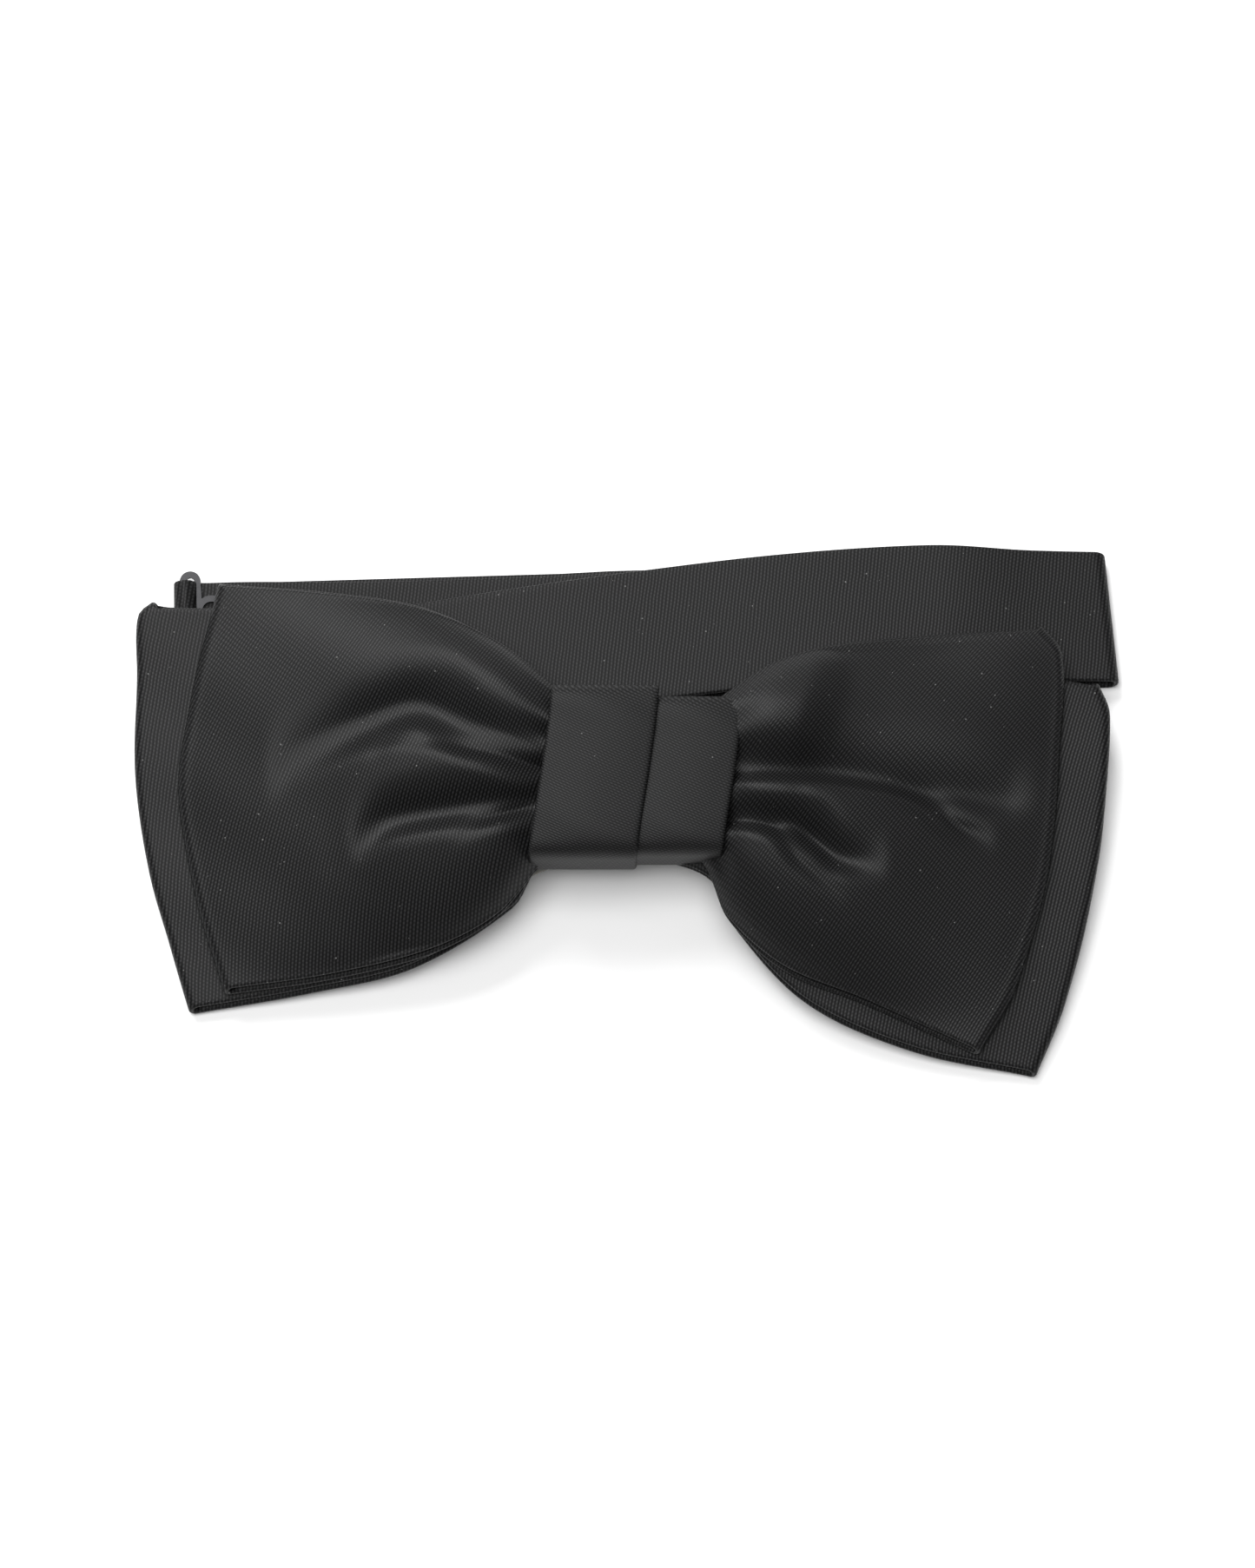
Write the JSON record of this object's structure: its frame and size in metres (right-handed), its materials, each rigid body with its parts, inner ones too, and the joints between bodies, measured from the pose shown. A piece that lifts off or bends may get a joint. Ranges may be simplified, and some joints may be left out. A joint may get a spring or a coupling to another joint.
{
  "type": "pre-tied bow tie",
  "caption": "Pre-tied double bow tie in dark satin: two folded bows gathered by a pleated knot band, on a folded adjustable neck strap with slider, hook and eye.",
  "frame": {"origin": "centre of the footprint, on the surface that the bow tie lies on", "axes": "+Z away from that surface towards the bow's face, +X along the bow's width towards its right end as seen from the front, +Y towards the upper edge"},
  "size_m": [0.1202, 0.0657, 0.019],
  "materials": {
    "satin": "twill satin, soft sheen",
    "knot_satin": "twill satin turned to its duller way",
    "strap_satin": "twill satin, flat pressed",
    "interlining": "stiff plain weave",
    "thread": "sewing thread",
    "gunmetal": "satin black nickel"
  },
  "bodies": {
    "bow": {"front_bow": "satin", "front_interlining_left": "interlining", "front_interlining_right": "interlining", "rear_bow": "satin", "rear_interlining_left": "interlining", "rear_interlining_right": "interlining", "gathering_thread": "thread", "knot_interlining": "interlining", "knot_band": "knot_satin", "knot_closing_stitches": "thread", "strap_upper_run": "strap_satin", "strap_short_half": "strap_satin", "strap_anchor_stitches": "thread", "strap_short_end_loop": "strap_satin", "short_end_bar_tack": "thread"},
    "hook": {"hook_plate": "gunmetal"},
    "lower_strap": {"strap_lower_run": "strap_satin", "strap_end_loop": "strap_satin"},
    "eye": {"eye_plate": "gunmetal"},
    "slider": {"slider_frame": "gunmetal", "strap_return": "strap_satin", "return_bar_tack": "thread"}
  },
  "joints": [
    {"name": "strap_unfold", "type": "hinge", "parent": "bow", "child": "lower_strap", "pos_m": [0.0592, 0.0237, 0.0016], "axis": [0.0427, -0.9991, 0], "range_deg": [0, 180]},
    {"name": "slider_travel", "type": "slide", "parent": "lower_strap", "child": "slider", "axis": [0.9996, 0.0297, 0], "range_m": [-0.02, 0.008]},
    {"name": "eye_swing", "type": "hinge", "parent": "lower_strap", "child": "eye", "pos_m": [-0.05465, 0.02032, 0.0017], "axis": [0.0819, -0.9966, 0], "range_deg": [0, 28]},
    {"name": "hook_swing", "type": "hinge", "parent": "bow", "child": "hook", "pos_m": [-0.03722, 0.01507, 0.0035], "axis": [0.1564, -0.9877, 0], "range_deg": [0, 12]}
  ]
}
